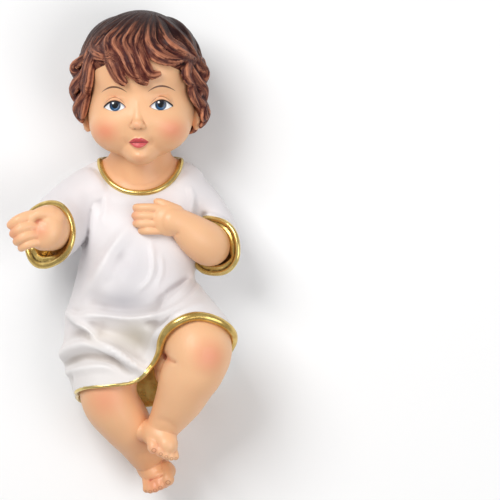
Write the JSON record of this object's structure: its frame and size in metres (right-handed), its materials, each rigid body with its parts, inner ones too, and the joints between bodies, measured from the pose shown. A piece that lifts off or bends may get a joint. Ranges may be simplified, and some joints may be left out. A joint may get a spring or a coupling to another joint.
{
  "type": "baby jesus figurine",
  "caption": "Cast and painted infant figure in a short-sleeved robe with gilt edges, lying on its back with one hand held out, one on its chest and one knee raised.",
  "frame": {"origin": "centre of the underside of the bounding box, on the surface it lies on", "axes": "+Y from the feet to the crown of the head, +Z out of the figure's front, +X to the figure's left"},
  "size_m": [0.086, 0.1806, 0.054],
  "materials": {
    "painted_resin": "hand-painted satin"
  },
  "bodies": {
    "root": {"figurine": "painted_resin"}
  },
  "joints": []
}
